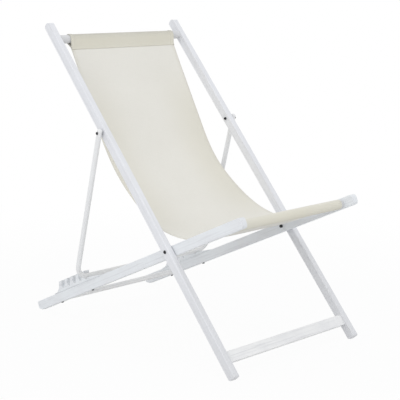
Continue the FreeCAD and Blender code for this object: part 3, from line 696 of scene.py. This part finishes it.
fade = blotches(tree, cut, 1 / canvas["fadeSize"], detail=3.0)
shade = combine(tree, spread(tree, weave, *canvas["weaveShade"]), spread(tree, slub, *canvas["slubShade"]))
shade = combine(tree, shade, spread(tree, fade, *canvas["fadeShade"]))
shade = addNode(tree, "ShaderNodeClamp", {"Value": shade}).outputs[0]
tone = canvas["colour"]
# mix in the painted shade
for mark in ("clothShade", "tunnelTopShade"):
    marked = addNode(tree, "ShaderNodeAttribute", attribute_name=mark).outputs["Fac"]
    tone = mixColour(tree, marked, tone, canvas[mark])
tree.links.new(mixColour(tree, shade, tone, canvas["shadeYarn"]), shader.inputs["Base Color"])
relief = combine(tree, weave, combine(tree, slub, canvas["slubRelief"], "MULTIPLY"))
emboss(tree, shader, relief, canvas["yarnDepth"], canvas["reliefStrength"])

slingPiece = finishPiece("canvasSling", bm, cloth)
wall = slingPiece.modifiers.new("cloth thickness", "SOLIDIFY")
wall.thickness = slingCut["thick"]
wall.offset = 0
print("sling modelled")

# stitching
stitch = {
    "length": 0.0042,
    "pitch": 0.0058,
    "width": 0.00075,
    "height": 0.00055,
    "hemRows": (0.0022, 0.0096),   # from the cloth's edge
    "seamRows": (0.0, 0.0065),     # from the seam
    "hemEnds": 0.012,              # hem rows stop before the main seams
    "seamEnds": (0.003, 0.002),    # seam rows stop before the edges
    "dark": (0.66, 0.63, 0.56, 1),
    "light": (0.78, 0.76, 0.70, 1),
    "plyScale": 900.0,
}
thread, tree, shader = newFinish("sewing thread", Roughness=0.7, Sheen_Weight=0.1)
ply = blotches(tree, objectPlace(tree), stitch["plyScale"], detail=1.0)
tree.links.new(mixColour(tree, ply, stitch["dark"], stitch["light"]), shader.inputs["Base Color"])
bm = bmesh.new()
stitchSize = Matrix.Diagonal((stitch["length"] / 2, stitch["width"] / 2, stitch["height"] / 2, 1))
stitchSize = stitchSize @ Matrix.Rotation(math.pi / 2, 4, "Y")   # the ball's poles become the ends


def sewRow(places, lengthwise):
    # places: x, distance along the cut, and depth of the thread behind the cloth's face
    row = bmesh.new()
    for x, distance, drop in places:
        face = sitterSide(distance)
        normal = Vector((0, face[0], face[1]))
        crosswise = Vector((1, 0, 0))
        downwards = normal.cross(crosswise).normalized()
        first, second = (downwards, crosswise) if lengthwise else (crosswise, downwards)
        turn = Matrix((first, second, normal)).transposed().to_4x4()
        lay = Matrix.Translation(clothPoint(x, drop, distance)) @ turn @ stitchSize
        bmesh.ops.create_uvsphere(row, u_segments=6, v_segments=4, radius=1.0, matrix=lay)
    sewn = bpy.data.meshes.new("row")
    row.to_mesh(sewn)
    row.free()
    bm.from_mesh(sewn)
    bpy.data.meshes.remove(sewn)


faceDrop, backDrop = -slingCut["thick"] / 2, slingCut["thick"] / 2
lengths = np.arange(topMainSeam + stitch["hemEnds"], frontMainSeam - stitch["hemEnds"], stitch["pitch"])
seamFrom, seamTo = stitch["seamEnds"]
acrossCloth = np.arange(-half + seamFrom, half - seamTo, stitch["pitch"])
for inset in stitch["hemRows"]:
    for x in (half - inset, inset - half):
        sewRow([(x, distance, faceDrop) for distance in lengths], True)
        sewRow([(x, distance, backDrop + layer) for distance in lengths], True)
for offset in stitch["seamRows"]:
    for distance, drop, overHem in (
        (topFlapSeam - offset, backDrop, layer), (topMainSeam + offset, backDrop, layer),
        (frontMainSeam - offset, faceDrop, 0), (frontFlapSeam + offset, faceDrop, 0),
    ):
        sewRow([(x, distance, drop + (overHem if abs(x) > half - hem else 0)) for x in acrossCloth], False)
stitchPiece = finishPiece("slingStitches", bm, thread)

for piece in (slingPiece, stitchPiece):
    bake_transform(piece)
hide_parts("sling")
print("stitching done")

# floor, light and camera
floorSheet = {
    "reach": 120.0,
    "under": 0.0004,
    "dark": (0.70, 0.70, 0.70, 1),
    "light": (0.74, 0.74, 0.74, 1),
    "fibreScale": 300.0,
    "whiteNear": 0.95,        # the rest shows the shadow
    "fadeFrom": 0.7,
    "fadeTo": 2.2,
}
bm = bmesh.new()
bmesh.ops.create_grid(bm, x_segments=8, y_segments=8, size=floorSheet["reach"])
bmesh.ops.translate(bm, verts=bm.verts, vec=(0, 0, -floorSheet["under"]))
floorPaper, tree, shader = newFinish("white paper", Roughness=0.9, Specular_IOR_Level=0.1)
place = objectPlace(tree)
fibre = blotches(tree, place, floorSheet["fibreScale"], detail=2.0)
tree.links.new(mixColour(tree, fibre, floorSheet["dark"], floorSheet["light"]), shader.inputs["Base Color"])
glow = addNode(tree, "ShaderNodeEmission", {"Color": (1, 1, 1, 1), "Strength": 1.0}).outputs[0]
away = addNode(tree, "ShaderNodeVectorMath", {0: place}, operation="LENGTH").outputs["Value"]
white = spread(tree, away, floorSheet["whiteNear"], 1.0, floorSheet["fadeFrom"], floorSheet["fadeTo"],
               interpolation_type="SMOOTHSTEP")
blendPaper = addNode(tree, "ShaderNodeMixShader", {
    0: combine(tree, seenDirectly(tree), white, "MULTIPLY"), 1: shader.outputs[0], 2: glow,
})
tree.links.new(blendPaper.outputs[0], tree.nodes["Material Output"].inputs["Surface"])
finishPiece("studioFloor", bm, floorPaper)

studio = {"ambient": 0.87, "tint": (0.97, 0.985, 1.0, 1)}
world = bpy.data.worlds.new("studio")
bpy.context.scene.world = world
world.use_nodes = True
tree = world.node_tree
soft = tree.nodes["Background"]
soft.inputs["Color"].default_value = studio["tint"]
soft.inputs["Strength"].default_value = studio["ambient"]
paper = addNode(tree, "ShaderNodeBackground", {"Color": (1, 1, 1, 1), "Strength": 1.0})
choose = addNode(tree, "ShaderNodeMixShader", {
    0: seenDirectly(tree), 1: soft.outputs[0], 2: paper.outputs[0],
})
tree.links.new(choose.outputs[0], tree.nodes["World Output"].inputs["Surface"])

lamps = {
    "left": {"spot": (-3.3, -0.65, 1.5), "size": 2.4, "watts": 19},
    "front": {"spot": (-0.6, -3.8, 0.95), "size": 2.4, "watts": 15},
    "above": {"spot": (0.2, 0.2, 3.6), "size": 2.2, "watts": 6},
}
target = Vector((0, -0.05, 0.5))  # near the middle of the chair
for name, lamp in lamps.items():
    data = bpy.data.lights.new(name, "AREA")
    data.size, data.energy = lamp["size"], lamp["watts"]
    piece = bpy.data.objects.new(name, data)
    piece.location = lamp["spot"]
    piece.rotation_euler = (target - Vector(lamp["spot"])).to_track_quat("-Z", "Y").to_euler()
    bpy.context.scene.collection.objects.link(piece)

view = {"spot": (-2.4142, -2.5810, 1.1293), "heading": -43.74, "down": 11.19, "lens": 96.95, "sensor": 36.0}
camera = bpy.data.objects.new("camera", bpy.data.cameras.new("camera"))
camera.data.lens, camera.data.sensor_width = view["lens"], view["sensor"]
camera.location = view["spot"]
camera.rotation_euler = (math.radians(90 - view["down"]), 0, math.radians(view["heading"]))
bpy.context.scene.collection.objects.link(camera)
bpy.context.scene.camera = camera
bpy.context.scene.view_settings.view_transform = "Standard"
print("stage set")
